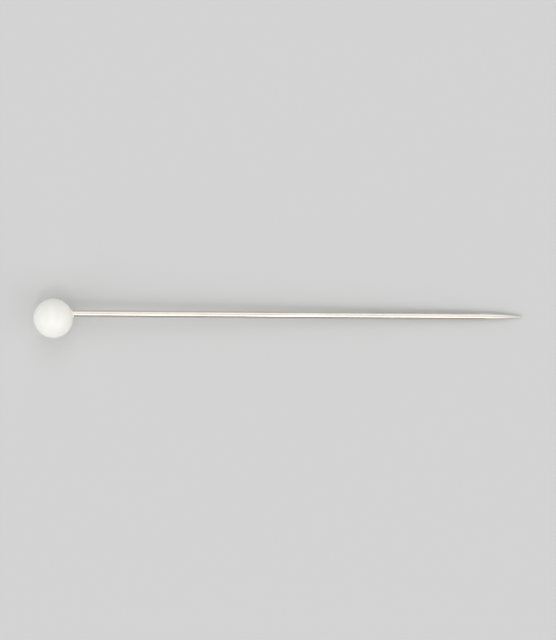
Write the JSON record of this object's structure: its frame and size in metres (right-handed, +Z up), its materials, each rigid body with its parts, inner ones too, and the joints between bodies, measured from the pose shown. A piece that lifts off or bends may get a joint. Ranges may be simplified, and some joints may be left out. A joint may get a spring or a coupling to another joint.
{
  "type": "straight pin",
  "caption": "Fine straight sewing pin: a plated steel wire ground to a sharp round point, with a drop of opaque white glass melted on its blunt end as the head.",
  "frame": {"origin": "on the wire's axis, where the wire comes out of the glass head", "axes": "+X along the wire towards its point; the head's centre hangs off the wire's axis towards -Y; +Z up from the surface that the pin is seen lying on"},
  "size_m": [0.035, 0.0029, 0.0028],
  "materials": {
    "nickel_plated_steel": "bright nickel plate with fine lengthwise drawing lines, ground at the point",
    "white_glass": "glossy opaque milk glass"
  },
  "bodies": {
    "root": {"wire_shaft": "nickel_plated_steel", "glass_head": "white_glass"}
  },
  "joints": []
}
